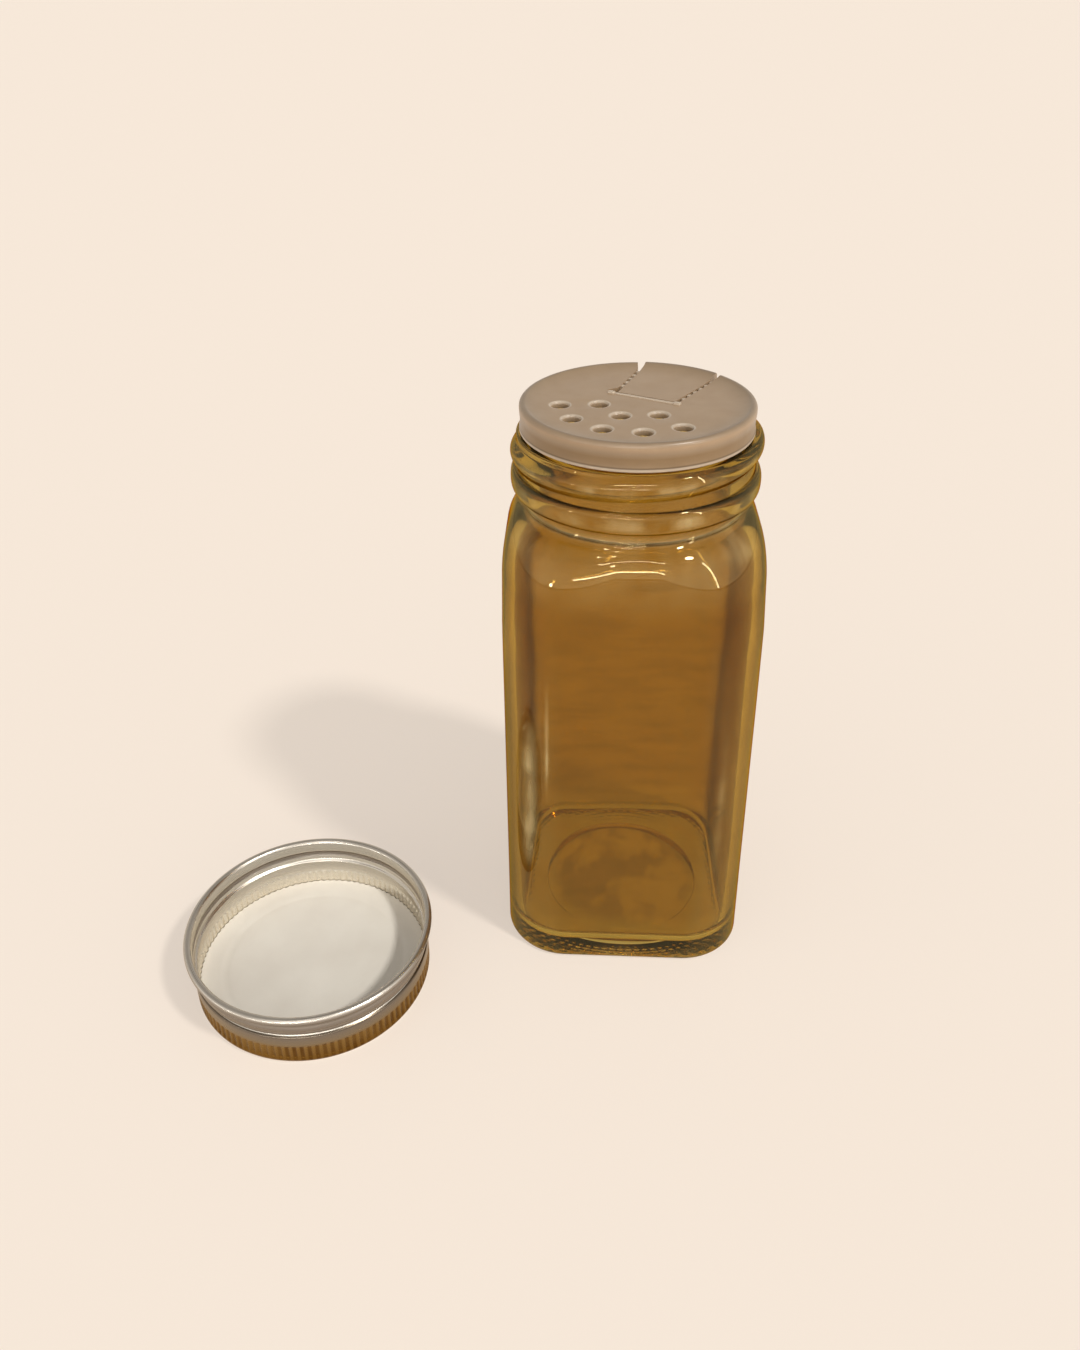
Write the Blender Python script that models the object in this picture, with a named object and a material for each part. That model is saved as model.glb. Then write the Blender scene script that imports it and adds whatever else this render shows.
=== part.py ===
"""Salt shaker: a square glass jar, a press-fit sifter with a pour flap, and its screw cap.

The cap is off and lies beside the jar, closed side down.  Lengths are in metres and
+Z is up.  The origin is on the table, in the middle of the box round the whole set.
"""
import math

import bmesh
import bpy
from mathutils import Matrix, Vector

# Square body of the jar
BODY_WIDTH = 0.0436
BASE_CORNER = 0.0110
BODY_CORNER = 0.0122
BODY_WALL = 0.0022
BODY_HEIGHT = 0.0749
HEEL_RADIUS = 0.0010
FLOOR_THICKNESS = 0.0022
FLOOR_CORNER = 0.0024
RECESS_RADIUS = 0.0150
RECESS_DEPTH = 0.0014

# Shoulder, where the square turns round, and the drawn-in root of the neck
CORNER_RUN = 0.0082
SHOULDER_RISE = 0.0100
ROOT_RISE = 0.0030
ROOT_DEPTH = 0.0009

# Neck, its bead and the stepped lip that carries the sifter
BORE_RADIUS = 0.0157
LIP_WALL = 0.0016
LIP_HEIGHT = 0.0026
LIP_ROUND = 0.0006
LEDGE_WIDTH = 0.0021
NECK_HEIGHT = 0.0096
NECK_BEAD_WIDTH = 0.0038
THREAD_DEPTH = 0.0010

# Sifter, pressed down over the lip
FIT_GAP = 0.0003
SKIRT_WALL = 0.0010
SKIRT_WAIST = 0.00015
DISC_THICKNESS = 0.0012
RIM_RISE = 0.0008
RIM_WIDTH = 0.0020
HOLE_RADIUS = 0.0015
HOLE_DRAFT = 0.0002
INNER_HOLES = 3
INNER_HOLE_RING = 0.0060
OUTER_HOLES = 5
OUTER_HOLE_RING = 0.01225

# Pour flap, cut out of the sifter and hinged on a thin line
FLAP_DIRECTION = math.radians(62.8)
FLAP_HINGE_OFFSET = 0.0032
FLAP_HINGE_WIDTH = 0.0100
FLAP_RIM_WIDTH = 0.0128
SLIT_WIDTH = 0.0006
NOTCH_WIDTH = 0.0015

# Screw cap of thin sheet, with a foam liner
SHEET = 0.0004
CAP_CLEARANCE = 0.0007
CAP_HEIGHT = 0.0118
CAP_CORNER = 0.0012
CURL_STEP = 0.0010
RIB_COUNT = 104
RIB_DEPTH = 0.00028
RIB_TOP = 0.0043
GROOVE_HEIGHT = 0.0071
GROOVE_DEPTH = 0.0005
GROOVE_WIDTH = 0.0011
BEAD_HEIGHT = 0.0090
BEAD_DEPTH = 0.00025
BEAD_WIDTH = 0.0017
LINER_THICKNESS = 0.0010

# Where the cap lies from the jar
CAP_SPACING = 0.0133
CAP_FORWARD = 0.0263

# Faceting
JAR_SIDES = 64
SIFTER_SIDES = 72
HOLE_SIDES = 14
LINER_SIDES = 52

# Heights up the jar
CORNER_START = BODY_HEIGHT - CORNER_RUN
ROOT_Z = BODY_HEIGHT + SHOULDER_RISE
NECK_BASE = ROOT_Z + ROOT_RISE
LEDGE_Z = NECK_BASE + NECK_HEIGHT
LIP_Z = LEDGE_Z + LIP_HEIGHT
DISC_LOW = LIP_Z + FIT_GAP
DISC_TOP = DISC_LOW + DISC_THICKNESS
RIM_TOP = DISC_TOP + RIM_RISE
SKIRT_LOW = LEDGE_Z + FIT_GAP

# Radii, from the bore outwards
LIP_RADIUS = BORE_RADIUS + LIP_WALL
NECK_RADIUS = LIP_RADIUS + LEDGE_WIDTH
ROOT_RADIUS = NECK_RADIUS - ROOT_DEPTH
SKIRT_INNER = LIP_RADIUS + FIT_GAP
SIFTER_RADIUS = SKIRT_INNER + SKIRT_WALL
CAP_INNER = NECK_RADIUS + THREAD_DEPTH + CAP_CLEARANCE
CAP_RADIUS = CAP_INNER + SHEET
CURL_RADIUS = CAP_RADIUS + CURL_STEP

# Places of the two standing bodies, about the middle of the whole set
HALF_BODY = BODY_WIDTH / 2
CAP_ASIDE = HALF_BODY + CAP_SPACING + CURL_RADIUS
JAR_PLACE = Vector((
    (CAP_ASIDE + CURL_RADIUS - HALF_BODY) / 2,
    (max(CAP_FORWARD + CURL_RADIUS, HALF_BODY) - HALF_BODY) / 2,
    0.0,
))
CAP_PLACE = JAR_PLACE - Vector((CAP_ASIDE, CAP_FORWARD, 0.0))


def clear_scene():
    for item in list(bpy.data.objects):
        bpy.data.objects.remove(item, do_unlink=True)


def make_material(name, colour, roughness, metallic=0.0, transmission=0.0):
    finish = bpy.data.materials.new(name)
    finish.use_nodes = True
    shader = finish.node_tree.nodes["Principled BSDF"]
    shader.inputs["Base Color"].default_value = (*colour, 1.0)
    shader.inputs["Roughness"].default_value = roughness
    shader.inputs["Metallic"].default_value = metallic
    shader.inputs["Transmission Weight"].default_value = transmission
    return finish


def ring(radius_at, height_at, count):
    """One closed ring; radius_at and height_at take the angle round the axis."""
    points = []
    for step in range(count):
        angle = math.tau * step / count
        radius = radius_at(angle)
        points.append(Vector((
            radius * math.cos(angle),
            radius * math.sin(angle),
            height_at(angle),
        )))
    return points


def circle(radius, height, count):
    if radius == 0.0:
        return [Vector((0.0, 0.0, height))]
    return ring(lambda angle: radius, lambda angle: height, count)


def turned(profile, count):
    """Rings of a piece turned about its axis, from (radius, height) pairs."""
    return [circle(radius, height, count) for radius, height in profile]


def arc(centre, radius, start, end, steps):
    """Points of a round stretch of a profile, with its angles in degrees."""
    points = []
    for step in range(steps + 1):
        angle = math.radians(start + (end - start) * step / steps)
        points.append((
            centre[0] + radius * math.cos(angle),
            centre[1] + radius * math.sin(angle),
        ))
    return points


def join_rings(work, near, far):
    """Faces between two neighbouring rings; one may be a point or have twice the sides."""
    count = max(len(near), len(far))
    sides = count if 1 in (len(near), len(far)) else min(len(near), len(far))
    for step in range(sides):
        if len(near) == 1:
            corners = [near[0], far[(step + 1) % count], far[step]]
        elif len(far) == 1:
            corners = [near[step], near[(step + 1) % count], far[0]]
        elif len(near) == len(far):
            after = (step + 1) % count
            corners = [near[step], near[after], far[after], far[step]]
        elif len(far) > len(near):
            after = (step + 1) % len(near)
            doubled = [far[2 * step], far[2 * step + 1], far[(2 * step + 2) % count]]
            work.faces.new([near[step], doubled[1], doubled[0]])
            corners = [near[step], near[after], doubled[2], doubled[1]]
        else:
            after = (step + 1) % len(far)
            doubled = [near[2 * step], near[2 * step + 1], near[(2 * step + 2) % count]]
            work.faces.new([doubled[0], doubled[1], far[step]])
            corners = [doubled[1], doubled[2], far[after], far[step]]
        work.faces.new(corners)


def add_object(name, work, place, finish=None):
    mesh = bpy.data.meshes.new(name)
    work.normal_update()
    work.to_mesh(mesh)
    work.free()
    mesh.shade_smooth()
    mesh.set_sharp_from_angle(angle=math.radians(35))
    piece = bpy.data.objects.new(name, mesh)
    piece.location = place
    bpy.context.scene.collection.objects.link(piece)
    if finish:
        mesh.materials.append(finish)
    return piece


def skin(name, rings, place, finish=None):
    """A closed solid over rings that run outwards, up the outside and back in."""
    work = bmesh.new()
    loops = []
    for points in rings:
        loops.append([work.verts.new(point) for point in points])
    for near, far in zip(loops, loops[1:]):
        join_rings(work, near, far)
    return add_object(name, work, place, finish)


def prism(name, outline, low, high, place):
    """A straight-sided cutter over an outline that runs anticlockwise."""
    work = bmesh.new()
    base = [work.verts.new((x, y, low)) for x, y in outline]
    face = work.faces.new(list(reversed(base)))
    lifted = bmesh.ops.extrude_face_region(work, geom=[face])
    moved = [item for item in lifted["geom"] if isinstance(item, bmesh.types.BMVert)]
    bmesh.ops.translate(work, verts=moved, vec=(0.0, 0.0, high - low))
    bmesh.ops.recalc_face_normals(work, faces=work.faces)
    return mark_cutter(add_object(name, work, place))


def mark_cutter(cutter):
    cutter.hide_render = True
    cutter.display_type = "WIRE"
    return cutter


def cut(piece, cutter, operation="DIFFERENCE"):
    modifier = piece.modifiers.new(cutter.name, "BOOLEAN")
    modifier.operation = operation
    modifier.object = cutter
    modifier.solver = "EXACT"


def square_ring(half, corner, height):
    """A rounded square of that half width and corner radius; with both the same, a circle."""
    flat = half - corner

    def radius_at(angle):
        folded = abs((angle + math.pi / 4) % (math.pi / 2) - math.pi / 4)
        if half * math.tan(folded) <= flat:
            return half / math.cos(folded)
        reach = flat * (math.cos(folded) + math.sin(folded))
        return reach + math.sqrt(reach ** 2 - 2 * flat ** 2 + corner ** 2)

    return ring(radius_at, lambda angle: height, JAR_SIDES)


def fillet_rings(inset, centre_height, radius, start, end, steps):
    """Rings of the rounded edge between the square wall, drawn in by inset, and a floor."""
    rings = []
    for across, up in arc((-radius, centre_height), radius, start, end, steps):
        moved = across - inset
        rings.append(square_ring(HALF_BODY + moved, BASE_CORNER + moved, up))
    return rings


def shoulder_rings(inset, end_radius, steps):
    """Squares that draw in from the wall while their corners grow to a full round."""
    side = HALF_BODY - inset
    corner = BODY_CORNER - inset
    rings = [square_ring(side, corner, CORNER_START)]
    for step in range(steps + 1):
        turn = math.pi / 2 * step / steps
        height = BODY_HEIGHT + SHOULDER_RISE * math.sin(turn)
        grown = (height - CORNER_START) / (ROOT_Z - CORNER_START)
        rings.append(square_ring(
            end_radius + (side - end_radius) * math.cos(turn),
            corner + (end_radius - corner) * grown,
            height,
        ))
    return rings


def neck_bead():
    """Round bead at the foot of the neck, standing out as far as the thread does."""
    half = NECK_BEAD_WIDTH / 2
    points = []
    for out, up in arc((0.0, 0.0), 1.0, -90, 90, 6):
        points.append((NECK_RADIUS + THREAD_DEPTH * out, NECK_BASE + half + half * up))
    return points


def jar_outside():
    """Underside with its round recess, heel, wall, shoulder, neck and stepped lip."""
    rings = turned([
        (0.0, RECESS_DEPTH),
        (RECESS_RADIUS * 0.70, RECESS_DEPTH * 0.80),
        (RECESS_RADIUS * 0.92, RECESS_DEPTH * 0.45),
        (RECESS_RADIUS, 0.0),
    ], JAR_SIDES)
    rings += fillet_rings(0.0, HEEL_RADIUS, HEEL_RADIUS, -90, 0, 3)
    rings += shoulder_rings(0.0, ROOT_RADIUS, 7)
    lip_centre = (LIP_RADIUS - LIP_ROUND, LIP_Z - LIP_ROUND)
    rings += turned([
        (ROOT_RADIUS, NECK_BASE),
        *neck_bead(),
        (NECK_RADIUS, LEDGE_Z - LIP_ROUND),
        (NECK_RADIUS - LIP_ROUND, LEDGE_Z),
        (LIP_RADIUS, LEDGE_Z),
        *arc(lip_centre, LIP_ROUND, 0, 90, 2),
    ], JAR_SIDES)
    return rings


def jar_inside():
    """Mouth, bore, the inside of the shoulder and wall, and the domed floor."""
    lip_centre = (BORE_RADIUS + LIP_ROUND, LIP_Z - LIP_ROUND)
    rings = turned(arc(lip_centre, LIP_ROUND, 90, 180, 2), JAR_SIDES)
    rings += reversed(shoulder_rings(BODY_WALL, BORE_RADIUS, 6))
    centre_height = FLOOR_THICKNESS + FLOOR_CORNER
    rings += fillet_rings(BODY_WALL, centre_height, FLOOR_CORNER, 0, -90, 4)
    rings += turned([
        (RECESS_RADIUS * 0.70, FLOOR_THICKNESS + RECESS_DEPTH * 0.55),
        (0.0, FLOOR_THICKNESS + RECESS_DEPTH),
    ], JAR_SIDES)
    return rings


def build_jar(finish):
    return skin("glass_jar", jar_outside() + jar_inside(), JAR_PLACE, finish)


def sifter_profile():
    """Underside, skirt, rolled rim and dished top of the moulding, before any cut."""
    rim_round = RIM_RISE * 0.9
    dish_edge = SIFTER_RADIUS - RIM_WIDTH - RIM_RISE
    skirt_height = RIM_TOP - SKIRT_LOW
    return [
        (0.0, DISC_LOW),
        (SKIRT_INNER, DISC_LOW),
        (SKIRT_INNER, SKIRT_LOW),
        (SIFTER_RADIUS, SKIRT_LOW),
        (SIFTER_RADIUS, SKIRT_LOW + skirt_height * 0.08),
        (SIFTER_RADIUS - SKIRT_WAIST, SKIRT_LOW + skirt_height * 0.20),
        (SIFTER_RADIUS - SKIRT_WAIST, SKIRT_LOW + skirt_height * 0.58),
        *arc((SIFTER_RADIUS - rim_round, RIM_TOP - rim_round), rim_round, 0, 90, 4),
        (SIFTER_RADIUS - RIM_WIDTH * 0.62, RIM_TOP - RIM_RISE * 0.14),
        (SIFTER_RADIUS - RIM_WIDTH, RIM_TOP - RIM_RISE * 0.50),
        (dish_edge + RIM_RISE * 0.3, DISC_TOP + RIM_RISE * 0.12),
        (dish_edge - RIM_RISE * 0.4, DISC_TOP),
        (0.0, DISC_TOP),
    ]


def hole_places():
    """Two arcs of holes, on the side away from the flap."""
    middle = FLAP_DIRECTION + math.pi
    places = []
    for count, radius, spread in (
        (INNER_HOLES, INNER_HOLE_RING, math.radians(120)),
        (OUTER_HOLES, OUTER_HOLE_RING, math.radians(120)),
    ):
        for step in range(count):
            angle = middle + spread * (step / (count - 1) - 0.5)
            places.append(Vector((radius * math.cos(angle), radius * math.sin(angle), 0.0)))
    return places


def hole_cutters():
    """Tapered pins, a little wider at the top as a moulding's core pins are."""
    cutters = []
    over = DISC_THICKNESS / 2
    for number, place in enumerate(hole_places(), 1):
        pin = skin(f"hole_pin_{number}", turned([
            (0.0, DISC_LOW - over),
            (HOLE_RADIUS - HOLE_DRAFT, DISC_LOW - over),
            (HOLE_RADIUS, DISC_TOP + over),
            (0.0, DISC_TOP + over),
        ], HOLE_SIDES), JAR_PLACE + place)
        cutters.append(mark_cutter(pin))
    return cutters


def flap_outline(hinge_end, slit, notch):
    """Outline of the flap, or of the gap round it, wider by slit and by notch at the rim."""
    rim_line = SIFTER_RADIUS - RIM_WIDTH
    beyond = SIFTER_RADIUS * 1.15
    hinge_half = FLAP_HINGE_WIDTH / 2 + slit
    rim_half = FLAP_RIM_WIDTH / 2 + slit
    side = [(hinge_end, hinge_half), (rim_line, rim_half)]
    if notch:
        side.append((rim_line, rim_half + notch))
    side.append((beyond, rim_half + notch))
    loop = [(along, -half) for along, half in side] + [(along, half) for along, half in reversed(side)]
    turn = Matrix.Rotation(FLAP_DIRECTION, 2)
    return [tuple(turn @ Vector(point)) for point in loop]


def build_sifter(finish):
    sifter = skin("sifter_insert", turned(sifter_profile(), SIFTER_SIDES), JAR_PLACE, finish)
    for pin in hole_cutters():
        cut(sifter, pin)
    outline = flap_outline(FLAP_HINGE_OFFSET - FIT_GAP / 2, SLIT_WIDTH, NOTCH_WIDTH - SLIT_WIDTH)
    gap = prism("flap_gap", outline, DISC_LOW - FIT_GAP / 2, RIM_TOP + RIM_RISE, JAR_PLACE)
    cut(sifter, gap)
    return sifter


def build_flap(finish):
    """The piece of the same moulding inside the slits, turning on the hinge line."""
    hinge = Vector((math.cos(FLAP_DIRECTION), math.sin(FLAP_DIRECTION), 0.0)) * FLAP_HINGE_OFFSET
    hinge.z = DISC_TOP
    pivot = bpy.data.objects.new("flap_hinge", None)
    pivot.location = JAR_PLACE + hinge
    pivot.rotation_euler = (0.0, 0.0, FLAP_DIRECTION)
    bpy.context.scene.collection.objects.link(pivot)
    outline = flap_outline(FLAP_HINGE_OFFSET + FIT_GAP / 2, 0.0, 0.0)
    flap = skin("pour_flap", turned(sifter_profile(), SIFTER_SIDES), JAR_PLACE, finish)
    keep = prism("flap_blank", outline, DISC_LOW + FIT_GAP / 2, RIM_TOP + RIM_RISE, JAR_PLACE)
    cut(flap, keep, "INTERSECT")
    bpy.context.view_layer.update()
    flap.parent = pivot
    flap.matrix_parent_inverse = pivot.matrix_world.inverted()
    return flap


def cap_wall(inset):
    """Groove, bead and necked-in top of the cap's wall, drawn in by inset."""
    radius = CAP_RADIUS - inset
    return [
        (radius, GROOVE_HEIGHT - GROOVE_WIDTH / 2),
        (radius - GROOVE_DEPTH, GROOVE_HEIGHT),
        (radius, GROOVE_HEIGHT + GROOVE_WIDTH / 2),
        (radius + BEAD_DEPTH, BEAD_HEIGHT - BEAD_WIDTH * 0.2),
        (radius + BEAD_DEPTH, BEAD_HEIGHT + BEAD_WIDTH * 0.2),
        (radius, BEAD_HEIGHT + BEAD_WIDTH * 0.5),
    ]


def cap_ribs():
    """The knurled band: a ring of upright ribs, two sides to each."""
    rings = []
    for height in (CAP_CORNER + RIB_DEPTH, RIB_TOP):
        rings.append(ring(
            lambda angle: CAP_RADIUS - RIB_DEPTH * (round(angle * RIB_COUNT / math.pi) % 2),
            lambda angle, height=height: height,
            2 * RIB_COUNT,
        ))
    return rings


def build_cap(finish):
    curl = (CURL_STEP + SHEET) / 2
    curl_centre = (CURL_RADIUS - curl, CAP_HEIGHT - curl)
    corner_centre = (CAP_RADIUS - CAP_CORNER, CAP_CORNER)
    inner_corner = CAP_CORNER - SHEET
    rings = turned([(0.0, 0.0), *arc(corner_centre, CAP_CORNER, -90, 0, 3)], RIB_COUNT)
    rings += cap_ribs()
    rings += turned([
        (CAP_RADIUS, RIB_TOP + RIB_DEPTH),
        *cap_wall(0.0),
        *arc(curl_centre, curl, -80, 180, 7),
        *reversed(cap_wall(SHEET)),
        *arc(corner_centre, inner_corner, 0, -90, 2),
        (0.0, SHEET),
    ], RIB_COUNT)
    return skin("cap_shell", rings, CAP_PLACE, finish)


def build_liner(finish):
    radius = CAP_INNER - FIT_GAP
    low = SHEET + FIT_GAP
    edge = LINER_THICKNESS * 0.35
    return skin("cap_liner", turned([
        (0.0, low),
        (radius - edge, low),
        (radius, low + edge),
        (radius, low + LINER_THICKNESS - edge / 2),
        (radius - edge / 2, low + LINER_THICKNESS),
        (0.0, low + LINER_THICKNESS),
    ], LINER_SIDES), CAP_PLACE, finish)


def build_set():
    clear_scene()
    glass = make_material("jar_glass", (0.62, 0.46, 0.22), 0.03, transmission=1.0)
    frosted = make_material("frosted_plastic", (0.74, 0.70, 0.64), 0.45, transmission=0.3)
    metal = make_material("brushed_aluminium", (0.72, 0.71, 0.69), 0.32, metallic=1.0)
    foam = make_material("liner_foam", (0.88, 0.86, 0.82), 0.75)
    build_jar(glass)
    build_sifter(frosted)
    build_flap(frosted)
    build_cap(metal)
    build_liner(foam)


build_set()
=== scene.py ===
"""Looks of the salt shaker: honey-toned glass jar, frosted sifter with a pour flap, and its screw cap."""
import math

import bpy
import numpy as np
from mathutils import Matrix, Vector, noise


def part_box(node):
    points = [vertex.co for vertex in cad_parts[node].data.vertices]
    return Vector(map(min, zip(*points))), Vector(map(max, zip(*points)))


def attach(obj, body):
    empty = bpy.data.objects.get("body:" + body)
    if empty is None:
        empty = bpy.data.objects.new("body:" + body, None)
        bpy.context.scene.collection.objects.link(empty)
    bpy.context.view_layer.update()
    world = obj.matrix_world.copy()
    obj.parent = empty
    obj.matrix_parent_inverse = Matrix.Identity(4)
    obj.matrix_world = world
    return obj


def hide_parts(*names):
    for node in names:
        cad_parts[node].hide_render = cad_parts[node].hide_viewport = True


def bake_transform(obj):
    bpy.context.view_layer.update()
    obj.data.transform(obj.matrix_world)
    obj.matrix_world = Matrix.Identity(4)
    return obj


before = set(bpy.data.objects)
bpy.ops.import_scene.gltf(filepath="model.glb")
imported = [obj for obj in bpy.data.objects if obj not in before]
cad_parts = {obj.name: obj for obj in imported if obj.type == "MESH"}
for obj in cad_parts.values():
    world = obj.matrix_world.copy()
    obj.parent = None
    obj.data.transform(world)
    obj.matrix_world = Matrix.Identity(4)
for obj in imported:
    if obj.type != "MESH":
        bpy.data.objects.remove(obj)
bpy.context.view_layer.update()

# Glass jar
# One heavy moulding of honey-toned glass: a square body that turns round at the shoulder, a narrow
# root, and a neck with a bead, one turn of thread and a stepped lip. Its underside stands on a
# stippled band round a shallow recess.
jar_low, jar_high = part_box("glass_jar")
jar_axis = Vector(((jar_low.x + jar_high.x) / 2, (jar_low.y + jar_high.y) / 2, 0.0))

jar_sides = 300
wall_rows, neck_rows, bore_rows = 32, 32, 22
shoulder_steps, root_steps, band_steps, floor_steps = 32, 7, 24, 16
body_half = 0.0218
base_corner = 0.0110
body_corner = 0.0122
heel_round = 0.0010
corner_start = 0.0667
shoulder_start = 0.0749
wall_top = shoulder_start - 0.0008
shoulder_top = 0.0849
root_radius = 0.0185
root_fillet_turn = math.radians(75)
root_wall_start = 0.0861
bead_low = 0.0879
bead_half_height = 0.0019
bead_fullness = 2.5
seam_rise = 0.00014
seam_height = 0.0858
seam_half = 0.0003
neck_radius = 0.0194
thread_depth = 0.0010
thread_half_width = 0.0020
thread_pitch = 0.00423
thread_left_height = 0.0942
thread_start, thread_end = math.radians(40), math.radians(420)
thread_run_out = math.radians(25)
ledge_height = 0.0975
ledge_round = 0.0004
lip_radius = 0.0173
lip_height = 0.1001
lip_round = 0.0006
bore_radius = 0.0157
bore_top = 0.0985
wall = 0.0022
floor_thickness = 0.0022
floor_bend = 0.0042
floor_fullness = 2.2
recess_radius = 0.0150
recess_depth = 0.0014
recess_fullness = 5.5
stipple_depth = 0.00016
stipple_pitch = 0.0013
stipple_round_jar = 75
outside_wave, outside_seed = 0.00005, 7.0
inside_wave, inside_seed = 0.00016, 23.0
wave_round_jar, wave_up_jar = 2.2, 55
wave_fade_over_floor, wave_fade_under_neck = 0.010, 0.006


def rounded_square(half, corner, turns):
    """Distance from the axis to a rounded square, at each angle of turns."""
    folded = np.abs((turns + math.pi / 4) % (math.pi / 2) - math.pi / 4)
    flat = half - corner
    reach = flat * (np.cos(folded) + np.sin(folded))
    swell = np.sqrt(np.maximum(reach ** 2 - 2 * flat ** 2 + corner ** 2, 0.0))
    return np.where(half * np.tan(folded) <= flat, half / np.cos(folded), reach + swell)


def ring(radius, height, turns):
    """One ring of points; radius and height are numbers or one value for each angle."""
    return np.stack([radius * np.cos(turns), radius * np.sin(turns), height + 0 * turns], axis=1)


def arc(centre, radius, start, end, steps):
    """Points (out, up) of a round stretch of a profile, with its angles in degrees."""
    swings = [math.radians(start + (end - start) * step / steps) for step in range(steps + 1)]
    return [(centre[0] + radius * math.cos(a), centre[1] + radius * math.sin(a)) for a in swings]


def bend(first, middle, last, steps):
    """Points of a soft curve from first to last that leans towards middle."""
    return [
        tuple(a * (1 - t) ** 2 + 2 * b * t * (1 - t) + c * t ** 2 for a, b, c in zip(first, middle, last))
        for t in (step / steps for step in range(steps + 1))
    ]


def skin_over(name, rings, place, sharp=180):
    """A piece whose surface runs over the rings in order; a ring of one point closes it."""
    starts = np.cumsum([0] + [len(points) for points in rings])
    faces = []
    for number, (near, far) in enumerate(zip(rings, rings[1:])):
        first, second = starts[number], starts[number + 1]
        count = max(len(near), len(far))
        here = np.arange(count)
        after = (here + 1) % count
        if len(near) == 1:
            block = np.stack([first + 0 * here, second + after, second + here], axis=1)
        elif len(far) == 1:
            block = np.stack([first + here, first + after, second + 0 * here], axis=1)
        else:
            block = np.stack([first + here, first + after, second + after, second + here], axis=1)
        faces += block.tolist()
    mesh = bpy.data.meshes.new(name)
    mesh.from_pydata(np.concatenate(rings).tolist(), [], faces)
    mesh.shade_smooth()
    mesh.set_sharp_from_angle(angle=math.radians(sharp))
    piece = bpy.data.objects.new(name, mesh)
    piece.location = place
    bpy.context.scene.collection.objects.link(piece)
    return piece


def add_node(tree, kind, **settings):
    """A node of that kind, with its own settings made."""
    made = tree.nodes.new(kind)
    for key, value in settings.items():
        setattr(made, key, value)
    return made


def feed(value, socket):
    """Sets a socket from another socket, a colour or a number."""
    if isinstance(value, bpy.types.NodeSocket):
        value.id_data.links.new(value, socket)
    elif socket.type == "RGBA":
        socket.default_value = (*value, 1.0)
    else:
        socket.default_value = value


def new_finish(name, settings):
    """A material, its shader with the settings, and object coordinates in metres for the grain."""
    finish = bpy.data.materials.new(name)
    finish.use_nodes = True
    shader = finish.node_tree.nodes["Principled BSDF"]
    for socket, value in settings.items():
        feed(value, shader.inputs[socket])
    return finish, shader, add_node(finish.node_tree, "ShaderNodeTexCoord").outputs["Object"]


def axes_of(place):
    """The three sockets of a coordinate, by the names of their axes."""
    split = add_node(place.id_data, "ShaderNodeSeparateXYZ")
    feed(place, split.inputs["Vector"])
    return split.outputs


def reckon(operation, first, second=None):
    """The result of an operation on a socket, with a second socket or number where it takes one."""
    step = add_node(first.id_data, "ShaderNodeMath", operation=operation)
    feed(first, step.inputs[0])
    if second is not None:
        feed(second, step.inputs[1])
    return step.outputs["Value"]


def blended(share, first, second, blend_type="MIX"):
    """A colour between first, a socket, and second, by a share of it."""
    both = add_node(first.id_data, "ShaderNodeMix", data_type="RGBA", blend_type=blend_type)
    feed(share, both.inputs["Factor"])
    feed(first, both.inputs[6])
    feed(second, both.inputs[7])
    return both.outputs[2]


def grain(place, scale, detail, stretch=(1, 1, 1)):
    """A noise value over the surface, stretched where the grain has a direction."""
    drawn_out = add_node(place.id_data, "ShaderNodeMapping")
    speckle = add_node(place.id_data, "ShaderNodeTexNoise")
    feed(place, drawn_out.inputs["Vector"])
    feed(stretch, drawn_out.inputs["Scale"])
    feed(drawn_out.outputs["Vector"], speckle.inputs["Vector"])
    feed(scale, speckle.inputs["Scale"])
    feed(detail, speckle.inputs["Detail"])
    return speckle.outputs["Fac"]


def spread(value, low, high, start=0.3, end=0.7):
    """A number that runs from low to high as value goes from start to end."""
    scale = add_node(value.id_data, "ShaderNodeMapRange")
    feed(value, scale.inputs["Value"])
    for name, number in (("From Min", start), ("From Max", end), ("To Min", low), ("To Max", high)):
        feed(number, scale.inputs[name])
    return scale.outputs["Result"]


def tone(value, stops):
    """A colour from a value, through stops of (position, colour)."""
    ramp = add_node(value.id_data, "ShaderNodeValToRGB")
    marks = ramp.color_ramp.elements
    while len(marks) < len(stops):
        marks.new(0.5)
    for mark, (position, colour) in zip(marks, stops):
        mark.position = position
        mark.color = (*colour, 1.0)
    feed(value, ramp.inputs["Fac"])
    return ramp.outputs["Color"]


def pitted(shader, value, depth, strength):
    """Gives the surface fine relief from a value; depth in metres."""
    relief = add_node(value.id_data, "ShaderNodeBump")
    feed(depth, relief.inputs["Distance"])
    feed(strength, relief.inputs["Strength"])
    feed(value, relief.inputs["Height"])
    feed(relief.outputs["Normal"], shader.inputs["Normal"])


def thread_rise(turns, height):
    """How far the right-handed thread stands out there, running out at both ends."""
    most = np.zeros_like(turns)
    for lap in (0, 1):
        along = turns + lap * math.tau
        middle = thread_left_height + (along - math.pi) / math.tau * thread_pitch
        across = np.clip((height - middle) / thread_half_width, -1, 1)
        ends = np.minimum(along - thread_start, thread_end - along) / thread_run_out
        ends = np.clip(ends, 0, 1)
        most = np.maximum(most, np.cos(across * math.pi / 2) ** 0.9 * ends ** 2 * (3 - 2 * ends))
    return thread_depth * most


def corner_at(height, inset, end):
    """Radius of the body's corners, which grow slowly up the wall and fast into the shoulder."""
    if height < corner_start:
        return base_corner + (body_corner - base_corner) * height / corner_start - inset
    share = min((height - corner_start) / (shoulder_top - corner_start), 1.0)
    return body_corner - inset + (end - body_corner + inset) * share


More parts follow.
